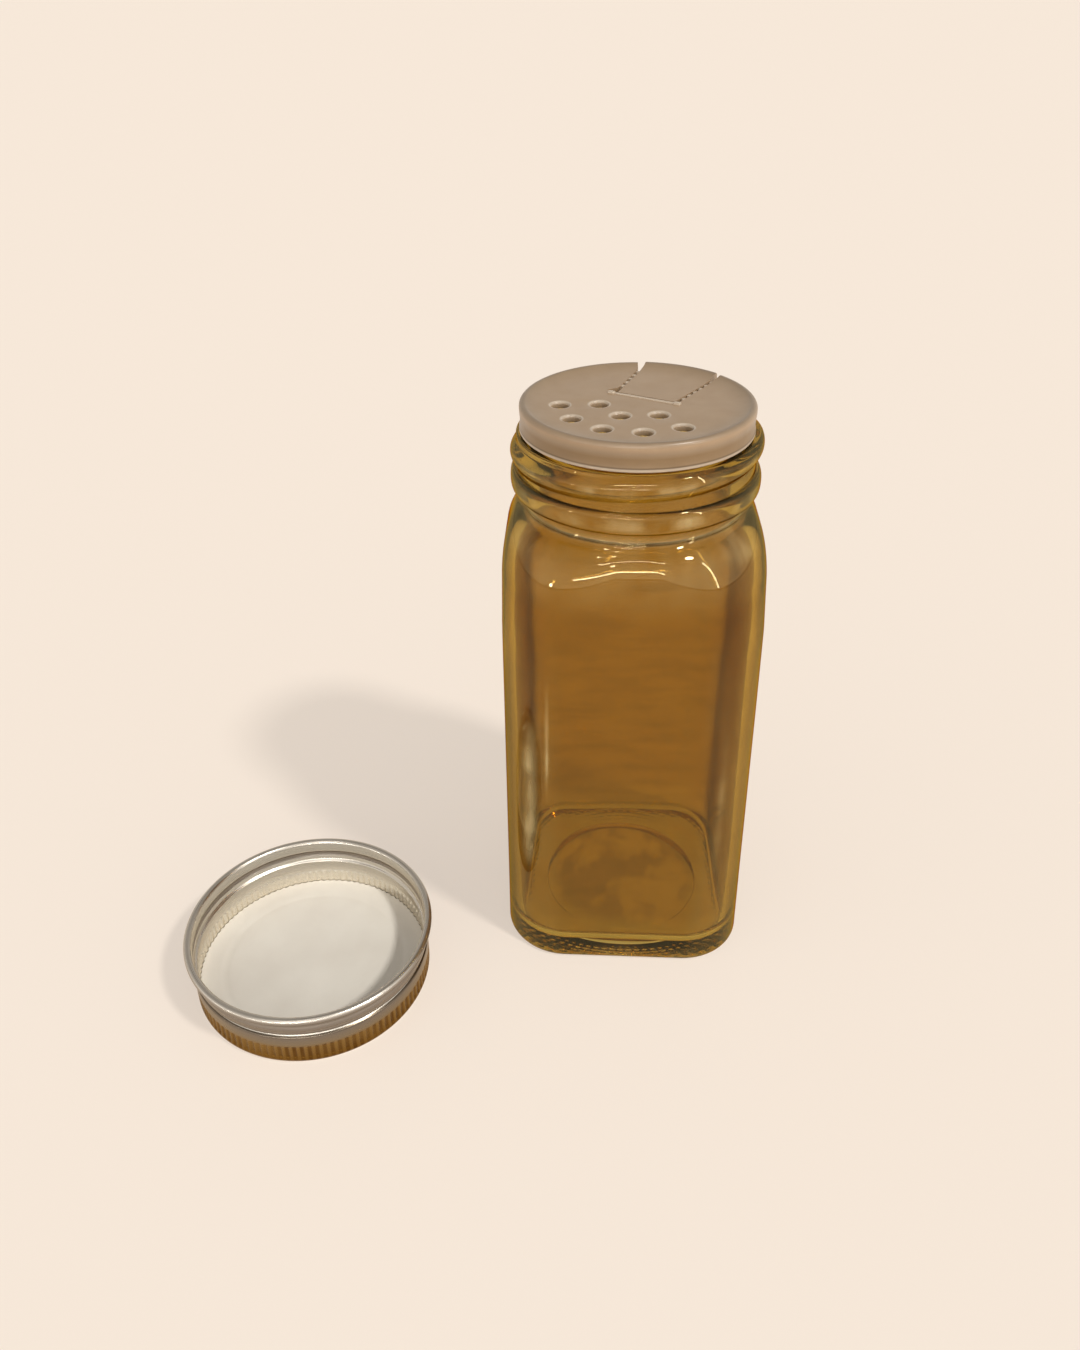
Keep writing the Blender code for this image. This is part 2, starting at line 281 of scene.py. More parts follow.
def body_rings(inset, end, turns, depth, seed):
    """Wall and shoulder, up to the root; depth is the slow wave of blown glass, always inwards."""
    side = body_half - inset
    rise = shoulder_top - shoulder_start
    outline = [(side, height) for height in np.linspace(heel_round, wall_top, wall_rows)]
    for step in range(shoulder_steps + 1):
        turn = root_fillet_turn * step / shoulder_steps
        outline.append((end + (side - end) * math.cos(turn), shoulder_start + rise * math.sin(turn)))
    half, height = outline[-1]
    slope = math.tan(root_fillet_turn) * (side - end) / rise
    leaning = (end, height + (half - end) / slope)
    outline += bend((half, height), leaning, (end, root_wall_start), root_steps)[1:]
    rings = []
    for half, height in outline:
        radius = rounded_square(half, min(corner_at(height, inset, end), half), turns)
        over_floor = (height - floor_bend) / wave_fade_over_floor
        under_neck = (shoulder_top - height) / wave_fade_under_neck
        calm = min(over_floor, under_neck, 1.0)
        if calm > 0:
            wave = [
                noise.noise((wave_round_jar * math.cos(a), wave_round_jar * math.sin(a) + seed,
                             height * wave_up_jar))
                for a in turns
            ]
            radius = radius - depth * calm * (0.5 + 0.5 * np.clip(wave, -1, 1))
        rings.append(ring(radius, height, turns))
    return rings


def underside_rings(turns):
    """The recess and its rim, the stippled band that the jar stands on, and the heel."""
    rings = [np.array([[0.0, 0.0, recess_depth]])]
    for share in (*np.linspace(0.15, 0.85, 8), 0.90, 0.93, 0.955, 0.975, 0.99, 1.0):
        rise = recess_depth * (1 - share ** recess_fullness) + stipple_depth
        rings.append(ring(share * recess_radius, min(rise, recess_depth), turns))
    foot = rounded_square(body_half - heel_round, base_corner - heel_round, turns)
    for step in range(band_steps + 1):
        share = step / band_steps
        radius = recess_radius + (foot - recess_radius) * share
        rows = 0.5 + 0.5 * np.cos(math.tau * radius / stipple_pitch)
        dots = rows * (0.5 + 0.5 * np.cos(stipple_round_jar * turns))
        calm = min(4 * share, 4 * (1 - share), 1.0)
        rings.append(ring(radius, stipple_depth * (1 - dots) * calm, turns))
    for out, up in arc((-heel_round, heel_round), heel_round, -72, -10, 5):
        rings.append(ring(rounded_square(body_half + out, base_corner + out, turns), up, turns))
    return rings


def neck_rings(turns):
    """The root with its mould seam, the bead, and the wall with the thread, up to the ledge."""
    outline = []
    for step in range(-4, 5):
        seam = seam_rise * math.cos(step / 4 * math.pi / 2)
        outline.append((root_radius + seam, seam_height + seam_half * step / 4))
    outline.append((root_radius, bead_low - 0.0007))
    outline += bend((root_radius, bead_low - 0.0004), (root_radius, bead_low), (neck_radius, bead_low), 4)
    for step in range(-9, 11):
        turn = step / 10 * math.pi / 2
        out = math.cos(turn) ** (2 / bead_fullness) if step < 10 else 0.0
        up = math.copysign(abs(math.sin(turn)) ** (2 / bead_fullness), step)
        outline.append((neck_radius + thread_depth * out, bead_low + bead_half_height * (1 + up)))
    bead_top = bead_low + 2 * bead_half_height
    for height in np.linspace(bead_top + 0.0001, ledge_height - ledge_round, neck_rows):
        outline.append((neck_radius, height))
    rings = []
    for radius, height in outline:
        stands_out = radius - neck_radius
        if stands_out >= 0:
            radius = neck_radius + np.maximum(stands_out, thread_rise(turns, height))
        rings.append(ring(radius, height, turns))
    for degrees in (25, 50, 72, 90):
        lean = math.radians(degrees)
        rise = thread_rise(turns, ledge_height) * math.cos(lean) ** 0.5
        radius = neck_radius + rise - ledge_round * (1 - math.cos(lean))
        rings.append(ring(radius, ledge_height - ledge_round * (1 - math.sin(lean)), turns))
    return rings


def lip_rings(turns):
    """The step up from the ledge, the rounded lip, and the bore."""
    outline = [(lip_radius + 0.0003, ledge_height), (lip_radius, ledge_height + 0.0003)]
    outline += arc((lip_radius - lip_round, lip_height - lip_round), lip_round, 0, 90, 5)
    outline += arc((bore_radius + lip_round, lip_height - lip_round), lip_round, 90, 180, 5)
    bore = np.linspace(bore_top, root_wall_start + 0.0004, bore_rows)
    outline += [(bore_radius, height) for height in bore]
    return [ring(radius, height, turns) for radius, height in outline]


def floor_rings(turns):
    """The soft inside corner, and the floor with its low crown over the recess."""
    rings = []
    for step in range(floor_steps + 1):
        turn = math.pi / 2 * step / floor_steps
        moved = floor_bend * (math.cos(turn) ** (2 / floor_fullness) - 1) - wall
        up = floor_thickness + floor_bend * (1 - math.sin(turn) ** (2 / floor_fullness))
        rings.append(ring(rounded_square(body_half + moved, base_corner + moved * 0.9, turns), up, turns))
    for share in (0.80, 0.62, 0.45, 0.30, 0.15):
        half = (body_half + moved) * share
        crown = recess_depth * (1 - share ** 2) ** 1.5
        rings.append(ring(rounded_square(half, half * 0.75, turns), floor_thickness + crown, turns))
    rings.append(np.array([[0.0, 0.0, floor_thickness + recess_depth]]))
    return rings


glass, glass_shader, glass_place = new_finish("honey_glass", {
    "Base Color": (0.66, 0.52, 0.28),
    "Roughness": 0.0,
    "Transmission Weight": 1.0,
    "IOR": 1.5,
    "Specular Tint": (1.0, 0.95, 0.76),
    "Coat Weight": 1.0,
    "Coat Roughness": 0.0,
    "Coat IOR": 1.0,
    "Coat Tint": (0.955, 0.89, 0.68),
})
up_the_jar = reckon("MULTIPLY", axes_of(glass_place)["Z"], 10.0)
# Tone up the jar. Its dark stop at the top of the recess is painted shade.
honey = tone(up_the_jar, [
    (0.004, (0.86, 0.90, 0.70)),
    (0.014, (0.40, 0.30, 0.11)),
    (0.024, (0.74, 0.63, 0.36)),
    (0.110, (0.61, 0.47, 0.19)),
    (0.760, (0.62, 0.47, 0.19)),
    (0.850, (0.68, 0.56, 0.32)),
    (0.960, (0.72, 0.62, 0.40)),
])
# The golden patches on the underside are painted light: caustics that lamps throw through the thick base
# onto the table below.
underside = add_node(glass.node_tree, "ShaderNodeAttribute", attribute_name="underside")
painted_caustic_patches = spread(grain(glass_place, 150, 3, (1.0, 0.7, 1.0)), 0.0, 1.0, 0.47, 0.58)
honey = blended(reckon("MULTIPLY", underside.outputs["Fac"], painted_caustic_patches), honey, (1.0, 0.93, 0.50))
# The tint goes almost black towards the silhouette: painted shade for dark surroundings seen in the glass
# edges, over the deeper tint of the longer path there.
painted_dark_edges = tone(add_node(glass.node_tree, "ShaderNodeLayerWeight").outputs["Facing"], [
    (0.50, (1.0, 1.0, 1.0)),
    (0.66, (0.29, 0.22, 0.07)),
    (0.92, (0.09, 0.06, 0.01)),
])
striae = tone(grain(glass_place, 60, 4, (1, 1, 5)), [
    (0.35, (0.86, 0.84, 0.78)),
    (0.50, (1.0, 1.0, 1.0)),
    (0.66, (0.90, 0.88, 0.82)),
])
honey = blended(1.0, blended(1.0, honey, painted_dark_edges, "MULTIPLY"), striae, "MULTIPLY")
# The greyish sheen marked on the mesh is painted reflection. It makes the glass lighter and greyer there and
# lets less light through.
painted_sheen = add_node(glass.node_tree, "ShaderNodeAttribute", attribute_name="painted_sheen")
painted_sheen_share = painted_sheen.outputs["Fac"]
feed(blended(painted_sheen_share, honey, (0.88, 0.83, 0.72)), glass_shader.inputs["Base Color"])
feed(spread(painted_sheen_share, 1.0, 0.40, 0.0, 1.0), glass_shader.inputs["Transmission Weight"])
mass = add_node(glass.node_tree, "ShaderNodeVolumeAbsorption")
feed((0.70, 0.69, 0.28), mass.inputs["Color"])
feed(60.0, mass.inputs["Density"])
feed(mass.outputs["Volume"], glass.node_tree.nodes["Material Output"].inputs["Volume"])

round_jar = np.linspace(0, math.tau, jar_sides, endpoint=False)
outside_body = body_rings(0.0, root_radius, round_jar, outside_wave, outside_seed)
inside_body = body_rings(wall, bore_radius, round_jar, -inside_wave, inside_seed)
corner_top = floor_thickness + floor_bend
inside_body = [points for points in reversed(inside_body) if points[0, 2] > corner_top]
jar_surface = underside_rings(round_jar) + outside_body + neck_rings(round_jar) + lip_rings(round_jar)
jar_surface += inside_body + floor_rings(round_jar)
jar = skin_over("square_jar", jar_surface, jar_axis)

# A painted greyish sheen that stands in for reflections: on the corners, shoulder, single streaks, root,
# thread and heel.
# Each streak: bearing in degrees, half width in radians, heights of both ends, and its strength.
painted_streaks = (
    (-131.5, 0.055, 0.016, 0.056, 0.80),
    (-123.5, 0.011, 0.036, 0.064, 0.40),
    (-52.0, 0.030, 0.020, 0.060, 0.22),
    (-147.0, 0.012, 0.050, 0.076, 0.35),
    (-146.0, 0.20, 0.0805, 0.0868, 0.28),
    (-40.0, 0.22, 0.0805, 0.0868, 0.28),
)
shoulder_sheen = ((0.0735, 0.0), (0.0775, 0.13), (0.0850, 0.14), (0.0880, 0.08), (0.1010, 0.09))
heel_reach = 0.0205
points = np.concatenate(jar_surface)
reach = np.hypot(points[:, 0], points[:, 1])
bearing = np.arctan2(points[:, 1], points[:, 0])
height = points[:, 2]
outer = np.arange(len(points)) < np.argmax(height)
cloud = np.array([noise.fractal((4 * math.cos(a), 4 * math.sin(a), h * 90), 0.8, 2.3, 4)
                  for a, h in zip(bearing, height)])
on_corners = 0.08 * np.clip((reach - 0.0245) / 0.0008, 0, 1) * np.clip(height / 0.010, 0.3, 1)
on_shoulder = np.interp(height, *zip(*shoulder_sheen))
greyish = np.maximum(on_corners, on_shoulder) * (0.8 + 0.7 * cloud)
for middle, half, low, high, most in painted_streaks:
    streak = most * np.exp(-((bearing - math.radians(middle)) / half) ** 2)
    ease = (high - low) * 0.25
    streak *= np.interp(height, (low, low + ease, high - ease, high), (0.0, 1.0, 1.0, 0.0))
    greyish = greyish + streak * (0.8 + cloud)
greyish += 0.45 * np.exp(-((height - 0.0863) / 0.0003) ** 2)
on_thread = 0.30 * np.exp(-((neck_radius + thread_depth - reach) / 0.00008) ** 2) * (height > bead_low)
on_heel = 0.16 * np.exp(-((height - heel_round) / 0.0008) ** 2) * (reach > heel_reach)
greyish = np.clip(greyish + (on_thread + on_heel) * (0.7 + 1.2 * cloud), 0, 1) * outer
# Where the painted golden caustic patches go: fully under the recess, at 0.7 on the stippled band.
painted_caustic_mask = np.where(reach < recess_radius, 1.0, 0.7) * (outer & (height < 0.0018) & (reach < heel_reach))
for name, values in (("painted_sheen", greyish), ("underside", painted_caustic_mask)):
    mark = jar.data.attributes.new(name, "FLOAT", "POINT")
    mark.data.foreach_set("value", values.astype(np.float32))
jar.data.materials.append(glass)
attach(jar, "jar")
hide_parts("glass_jar")

# Sifter
# A frosted, see-through moulding pressed over the lip: a shallow dish inside a rounded rim, a short
# skirt with a fine lip, and eight tapered holes with soft edges. The gap for the pour flap is cut
# through the rim.
sifter_sides = 256
sifter_radius = 0.01885
skirt_inside = 0.0176
skirt_low = 0.0978
disc_low = 0.1004
disc_top = 0.1016
disc_under = 0.1005
rim_top = 0.1024
dish_radius = 0.0128
skirt_waist = 0.00016
rim_round = 0.00072
hole_radius = 0.0015
hole_edge = 0.00016
flap_turn = math.radians(62.8)
hinge_offset = 0.0032
slit = 0.00065
flap_half_at_hinge, flap_half_at_rim = 0.0050, 0.0064
left_notch, right_notch = 0.0010, 0.0005


def on_sifter(along, across, height=0.0):
    """A point of the sifter from its distances along and across the flap."""
    turn = Matrix.Rotation(flap_turn, 3, "Z")
    return turn @ Vector((along, across, height))


def sifter_outline(rim_lift):
    """Profile of the moulding, from the middle of its underside round to the middle of its top."""
    inner_rim = sifter_radius - 2 * rim_round
    crest = rim_top + rim_lift
    points = [(0.004, disc_under), (0.010, disc_under), (0.0142, disc_under), (0.0148, disc_low),
              (skirt_inside - 0.0003, disc_low)]
    points += [(skirt_inside, disc_low - 0.0003), (skirt_inside, 0.0990), (skirt_inside, skirt_low + 0.0001)]
    points += [(skirt_inside + 0.0001, skirt_low), (sifter_radius - 0.00012, skirt_low)]
    points += [(sifter_radius, skirt_low + 0.00012), (sifter_radius, skirt_low + 0.0003)]
    for share in np.linspace(0, 1, 9):
        waist = skirt_waist * math.sin(math.pi * min(share * 1.25, 1.0)) ** 0.6 * (1 - 0.35 * share)
        points.append((sifter_radius - waist, skirt_low + 0.0005 + share * 0.0032))
    points += arc((sifter_radius - rim_round, crest - rim_round), rim_round, 10, 110, 9)
    last = points[-1]
    points += bend(last, (inner_rim - 0.0005, disc_top + 0.00002), (dish_radius, disc_top), 14)[1:]
    points += [(0.0100, disc_top), (0.0060, disc_top), (0.0030, disc_top)]
    return points


def turned(outline, sides):
    """Rings of a round piece, closed by a point at both ends of its outline."""
    turns = np.linspace(0, math.tau, sides, endpoint=False)
    rings = [ring(radius, height, turns) for radius, height in outline]
    first, last = (np.array([[0.0, 0.0, outline[end][1]]]) for end in (0, -1))
    return [first, *rings, last]


def slab(name, corners, low, high, place):
    """A block over corners that run anticlockwise, for cutting."""
    count = len(corners)
    points = [(c[0], c[1], height) for height in (low, high) for c in corners]
    sides = [(i, (i + 1) % count, count + (i + 1) % count, count + i) for i in range(count)]
    mesh = bpy.data.meshes.new(name)
    mesh.from_pydata(points, [], [tuple(range(count))[::-1], tuple(range(count, 2 * count)), *sides])
    block = bpy.data.objects.new(name, mesh)
    block.location = place
    bpy.context.scene.collection.objects.link(block)
    return block


def carve(piece, cutters, operation="DIFFERENCE"):
    """Cuts the piece once with each cutter and takes the cutters away."""
    for cutter in cutters:
        step = piece.modifiers.new(cutter.name, "BOOLEAN")
        step.operation = operation
        step.object = cutter
        step.solver = "EXACT"
    bpy.context.view_layer.update()
    done = piece.evaluated_get(bpy.context.evaluated_depsgraph_get())
    shaped = bpy.data.meshes.new_from_object(done)
    piece.modifiers.clear()
    piece.data = shaped
    shaped.shade_smooth()
    shaped.set_sharp_from_angle(angle=math.radians(32))
    for cutter in cutters:
        bpy.data.objects.remove(cutter, do_unlink=True)


def flap_edge(hinge_end, widen, left, right):
    """Corners round the flap, or round its gap when widened, with notches that open to the rim."""
    notch_start, notch_full, beyond = 0.0150, 0.0172, 0.0215
    near, far = flap_half_at_hinge + widen, flap_half_at_rim + widen
    corners = [(hinge_end, -near)]
    for side, notch in ((-1, right), (1, left)):
        edge = [(notch_start, side * (far - 0.00015)), (notch_full, side * (far + notch)),
                (beyond, side * (far + notch * 1.3))]
        corners += edge if side < 0 else edge[::-1]
    corners.append((hinge_end, near))
    return [tuple(on_sifter(*corner).xy) for corner in corners]


def hole_centres():
    """Middles of the three inner and five outer holes."""
    centres = []
    for count, distance in ((3, 0.0060), (5, 0.01225)):
        for step in range(count):
            swing = math.radians(120) * (step / (count - 1) - 0.5) + math.pi
            centres.append(on_sifter(distance * math.cos(swing), distance * math.sin(swing)))
    return centres


def hole_pins():
    """Tapered pins with a flared head, one for each hole."""
    flare = [(hole_radius - 0.00022, disc_low - 0.0006), (hole_radius - 0.00008, disc_top - 0.00036)]
    flare += bend((hole_radius, disc_top - 0.00026), (hole_radius + 0.00004, disc_top - 0.00002),
                  (hole_radius + 0.00036, disc_top + 0.00002), 5)
    flare.append((hole_radius + 0.0006, disc_top + 0.0004))
    return [skin_over("pin", turned(flare, 40), jar_axis + centre) for centre in hole_centres()]


def flattened(place):
    """The coordinate with its height taken out."""
    flat = add_node(place.id_data, "ShaderNodeVectorMath", operation="MULTIPLY")
    feed(place, flat.inputs[0])
    feed((1.0, 1.0, 0.0), flat.inputs[1])
    return flat.outputs["Vector"]


def how_far(place, centre=(0.0, 0.0, 0.0)):
    """The distance of a coordinate from a centre."""
    gap = add_node(place.id_data, "ShaderNodeVectorMath", operation="DISTANCE")
    feed(place, gap.inputs[0])
    feed(centre, gap.inputs[1])
    return gap.outputs["Value"]


def frosted(name, stops, hole_glints):
    """Frosted plastic, toned up its height; the last argument adds a pale ring round every hole, a painted
    highlight on its edge.
    """
    finish, shader, place = new_finish(name, {"Transmission Weight": 0.10, "IOR": 1.49})
    up_the_rim = spread(axes_of(place)["Z"], 0.0, 1.0, skirt_low, rim_top)
    clouds = tone(grain(place, 320, 5), [
        (0.30, (0.93, 0.92, 0.91)),
        (0.70, (1.0, 1.0, 1.0)),
    ])
    colour = blended(1.0, tone(up_the_rim, stops), clouds, "MULTIPLY")
    # A pale ring round each hole: a painted highlight on the hole's edge.
    if hole_glints:
        gaps = [how_far(flattened(place), centre) for centre in hole_centres()]
        nearest = gaps[0]
        for gap in gaps[1:]:
            nearest = reckon("MINIMUM", nearest, gap)
        off_edge = reckon("ABSOLUTE", reckon("SUBTRACT", nearest, hole_radius + hole_edge))
        colour = blended(spread(off_edge, 1.0, 0.0, 0.00010, 0.00030), colour, (0.54, 0.45, 0.35))
    feed(colour, shader.inputs["Base Color"])
    feed(spread(grain(place, 260, 4), 0.28, 0.40), shader.inputs["Roughness"])
    pitted(shader, grain(place, 2600, 3), 0.00002, 0.35)
    return finish


# The tones up the height hold painted light: the light lip at the foot of the skirt is a painted highlight,
# and the thin dark line above it and the darker skirt are painted shade.
plastic = frosted("frosted_plastic", [
    (0.00, (0.50, 0.40, 0.30)),
    (0.09, (0.52, 0.42, 0.32)),
    (0.13, (0.14, 0.09, 0.045)),
    (0.18, (0.27, 0.175, 0.090)),
    (0.44, (0.26, 0.165, 0.080)),
    (0.62, (0.33, 0.235, 0.148)),
    (0.80, (0.415, 0.288, 0.178)),
    (0.94, (0.32, 0.230, 0.147)),
    (1.00, (0.26, 0.195, 0.135)),
], True)
worn_plastic = frosted("whitened_plastic", [(0.0, (0.50, 0.40, 0.30)), (1.0, (0.58, 0.48, 0.37))], False)

sifter = skin_over("frosted_sifter", turned(sifter_outline(-0.0001), sifter_sides), jar_axis)
opening = slab("opening", flap_edge(hinge_offset - 0.00015, slit, left_notch, right_notch),
               disc_low - 0.0002, rim_top + 0.001, jar_axis)
triangle = [tuple(on_sifter(*c).xy) for c in ((0.00305, 0.0048), (0.0056, 0.0056), (0.0036, 0.0071))]
torn_corner = slab("torn_corner", triangle, disc_low - 0.0002, rim_top, jar_axis)
carve(sifter, hole_pins() + [opening, torn_corner])
sifter.data.materials.append(plastic)
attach(sifter, "sifter")
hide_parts("sifter_insert")

# Pour flap
# The part of the same moulding between the two slits. It turns up on a thin web at its inner end,
# so a spoon or a pour can go past it.
flap = skin_over("pour_flap_lid", turned(sifter_outline(0.0), sifter_sides), jar_axis)
blank = slab("blank", flap_edge(hinge_offset + 0.00015, 0.0, 0.0, 0.0),
             disc_low + 0.00015, rim_top + 0.001, jar_axis)
carve(flap, [blank], "INTERSECT")
flap.data.materials.append(plastic)
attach(flap, "flap")
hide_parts("pour_flap")

# Slit webs and hinge
# Little bridges left across both slits, which hold the flap shut until it is first opened, a raised
# bar beside the hinge line, and the thin film that bends in the real hinge, here a piece that stays put.
web_low, web_high = disc_under + 0.0001, disc_top - 0.00008
web_pitch, web_length = 0.00185, 0.0008
flap_run = 0.0134


def soft_block(name, along, across, low, high, soft=0.00010):
    """A small block with eased edges, given by its spans along and across the flap."""
    rings = []
    eased = ((soft, low), (0.0, low + soft), (0.0, high - soft), (soft * 0.3, high - soft * 0.3))
    for inset, height in (*eased, (soft, high)):
        a0, a1 = along[0] + inset, along[1] - inset
        c0, c1 = across[0] + inset, across[1] - inset
        loop = [(a1 - soft, c0), (a1, c0 + soft), (a1, c1 - soft), (a1 - soft, c1),
                (a0 + soft, c1), (a0, c1 - soft), (a0, c0 + soft), (a0 + soft, c0)]
        rings.append(np.array([on_sifter(a, c, height) for a, c in loop]))
    middle = on_sifter(sum(along) / 2, sum(across) / 2)
    first, last = (np.array([[middle.x, middle.y, height]]) for height in (low, high))
    return skin_over(name, [first, *rings, last], jar_axis, 40)


def fix_to_sifter(piece):
    """Gives a small block of the moulding its whitened finish and lets it ride on the sifter."""
    piece.data.materials.append(worn_plastic)
    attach(piece, "sifter")


for name, side, first, count in (("left", 1, 0.0064, 5), ("right", -1, 0.0052, 6)):
    for step in range(count):
        start = first + step * web_pitch
        along_flap = (start + web_length / 2 - hinge_offset) / flap_run
        edge = flap_half_at_hinge + (flap_half_at_rim - flap_half_at_hinge) * along_flap
        span = sorted((side * (edge + 0.00005), side * (edge + slit + 0.0001)))
        fix_to_sifter(soft_block(f"slit_web_{name}_{step + 1}", (start, start + web_length), span,
                                 web_low, web_high))

fix_to_sifter(soft_block("hinge_bar", (0.0023, 0.0029), (-0.0060, 0.0060),
                         disc_top - 0.0002, disc_top + 0.00014, 0.00012))
for name, side in (("left", 1), ("right", -1)):
    fix_to_sifter(soft_block(f"hinge_stub_{name}", (0.0021, 0.0030), sorted((side * 0.0052, side * 0.0064)),
                             disc_top - 0.0002, disc_top + 0.00030, 0.00015))

film_half = 0.0004
film_rings = []
for along in np.linspace(hinge_offset - film_half, hinge_offset + film_half, 9):
    thin = 0.00012 * math.cos((along - hinge_offset) / film_half * math.pi / 2)
    across = np.linspace(-0.0049, 0.0049, 9)
    top = [on_sifter(along, c, disc_top - 0.00002 - thin) for c in across]
    under = [on_sifter(along, c, disc_top - 0.00040 + thin) for c in across[::-1]]
    film_rings.append(np.array(top + under))
first, last = (np.array([film_rings[end].mean(axis=0)]) for end in (0, -1))
film = skin_over("hinge_film", [first, *film_rings, last], jar_axis, 40)
film.data.materials.append(plastic)
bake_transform(film)

# Screw cap
# Thin aluminium sheet, drawn to a cup and rolled: fine upright ribs near the closed end, a groove, a
# round bead, and a curled edge. It lies on its closed end with the open side up.
cap_low, cap_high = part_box("cap_shell")
cap_axis = Vector(((cap_low.x + cap_high.x) / 2, (cap_low.y + cap_high.y) / 2, 0.0))
rib_count = 104
cap_sides = rib_count * 6
cap_radius = 0.0215
cap_height = 0.0118
cap_corner = 0.0012
sheet = 0.0004
curl_radius = 0.0007
curl_reach = 0.00099
rib_depth = 0.00026
rib_low, rib_high = 0.0013, 0.0044
groove_height, groove_depth, groove_half = 0.0070, 0.00050, 0.00055
bead_height, bead_depth, bead_half = 0.0088, 0.00026, 0.0009


def cap_wall_radius(height):
    """Outer radius of the wall there, without the ribs."""
    groove = max(0.0, 1 - abs(height - groove_height) / groove_half)
    swell = max(0.0, 1 - abs(height - bead_height) / bead_half)
    return cap_radius - groove_depth * math.sin(groove * math.pi / 2) ** 2 \
        + bead_depth * math.sin(swell * math.pi / 2) ** 2


def rib_rise(turns, height):
    """How far the ribs draw the wall in there; they ease off at both ends."""
    ends = np.clip(min(height - rib_low, rib_high - height) / 0.0004, 0, 1)
    return rib_depth * ends * (0.5 + 0.5 * np.cos(rib_count * turns)) ** 0.8


def cap_rings():
    """The sheet's outer face from the middle of the panel up to the curl, and its inner face back."""
    turns = np.linspace(0, math.tau, cap_sides, endpoint=False)
    outer, inner = [], []
    for radius in (0.0005, 0.006, 0.012, 0.0170, 0.0190):
        outer.append(ring(radius, 0.0 if radius > 0.018 else 0.00002, turns))
        inner.append(ring(radius, sheet, turns))
    for out, up in arc((cap_radius - cap_corner, cap_corner), cap_corner, -90, -8, 8):
        outer.append(ring(out, up, turns))
    for out, up in arc((cap_radius - cap_corner, cap_corner), cap_corner - sheet, -90, -8, 5):
        inner.append(ring(out, up, turns))
    heights = sorted({*np.linspace(rib_low, rib_high, 15), *np.linspace(0.0046, 0.0064, 4),
                      *np.linspace(0.0064, 0.0077, 12), *np.linspace(0.0079, 0.0098, 12)})
    for height in heights:
        radius = cap_wall_radius(height) - rib_rise(turns, height)
        outer.append(ring(radius, height, turns))
        inner.append(ring(radius - sheet, height, turns))
    centre = (cap_radius + curl_reach - curl_radius, cap_height - curl_radius)
    for out, up in arc(centre, curl_radius, -118, 180, 18):
        outer.append(ring(out, up, turns))
    return outer + inner[::-1]


metal, metal_shader, metal_place = new_finish("satin_aluminium", {
    "Metallic": 1.0,
    "Specular Tint": (0.95, 0.88, 0.77),
})
metal_axes = axes_of(metal_place)
round_cap = reckon("ARCTAN2", metal_axes["Y"], metal_axes["X"])
up_the_cap = reckon("MULTIPLY", metal_axes["Z"], 1 / cap_height)
rolled = add_node(metal.node_tree, "ShaderNodeCombineXYZ")
for side, value in (("X", round_cap), ("Y", metal_axes["Z"]), ("Z", how_far(metal_place))):
    feed(value, rolled.inputs[side])
lines = grain(rolled.outputs["Vector"], 6, 3, (0.35, 900, 900))
feed(spread(lines, 0.22, 0.38), metal_shader.inputs["Roughness"])
pitted(metal_shader, lines, 0.00001, 0.35)
# Tone up the inside of the cap: pale low down, a painted reflection of the liner, then darker and lighter
# bands up the wall.
inner_tone_and_painted_light = tone(up_the_cap, [
    (0.00, (0.76, 0.72, 0.64)),
    (0.34, (0.74, 0.70, 0.62)),
    (0.44, (0.58, 0.54, 0.48)),
    (0.56, (0.50, 0.47, 0.42)),
    (0.72, (0.66, 0.62, 0.56)),
    (0.84, (0.50, 0.47, 0.42)),
    (1.00, (0.58, 0.55, 0.50)),
])
# Tone up the outside, over the aluminium's grey, darker than the inside as painted shade: golden brown on
# the ribs is a painted reflection of brown surroundings, the dark lines in the groove and under the curl are
# painted shade, and the curl's top is lighter.
outer_tone_and_painted_light = tone(up_the_cap, [
    (0.00, (0.17, 0.08, 0.01)),
    (0.34, (0.28, 0.165, 0.05)),
    (0.41, (0.27, 0.21, 0.14)),
    (0.53, (0.24, 0.20, 0.16)),
    (0.57, (0.09, 0.07, 0.05)),
    (0.62, (0.13, 0.10, 0.08)),
    (0.68, (0.31, 0.275, 0.24)),
    (0.82, (0.25, 0.215, 0.18)),
    (0.86, (0.07, 0.05, 0.04)),
    (0.93, (0.30, 0.265, 0.23)),
    (1.00, (0.54, 0.51, 0.46)),
])
outside = reckon("GREATER_THAN", how_far(flattened(metal_place)), cap_radius - rib_depth - 0.00006)
on_ribs = reckon("MULTIPLY", reckon("LESS_THAN", up_the_cap, rib_high / cap_height), outside)
patchy = reckon("MULTIPLY", spread(grain(metal_place, 110, 2), 0.15, 1.0, 0.38, 0.62), on_ribs)
# Darker, browner rib valleys in patches on the outside: painted shade.
painted_valley_shade = spread(reckon("COSINE", reckon("MULTIPLY", round_cap, rib_count)), 0.0, 1.0, -0.6, 0.4)
both_sides = blended(outside, inner_tone_and_painted_light, outer_tone_and_painted_light)
feed(blended(reckon("MULTIPLY", painted_valley_shade, patchy), both_sides, (0.52, 0.42, 0.30), "MULTIPLY"),
     metal_shader.inputs["Base Color"])

cap_outline = cap_rings()
cap_outline = [np.array([[0.0, 0.0, 0.00002]]), *cap_outline, np.array([[0.0, 0.0, sheet]])]
cap = skin_over("rolled_cap", cap_outline, cap_axis, 60)
cap.data.materials.append(metal)
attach(cap, "cap")
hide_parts("cap_shell")

# Cap liner
# An off-white foam disc glued in the closed end. The jar's lip has pressed a faint ring in it, and
# its edge is slightly raised.
liner_radius = 0.02083
liner_low, liner_high = sheet + 0.0003, sheet + 0.0013
press_radius, press_depth = 0.0165, 0.00010

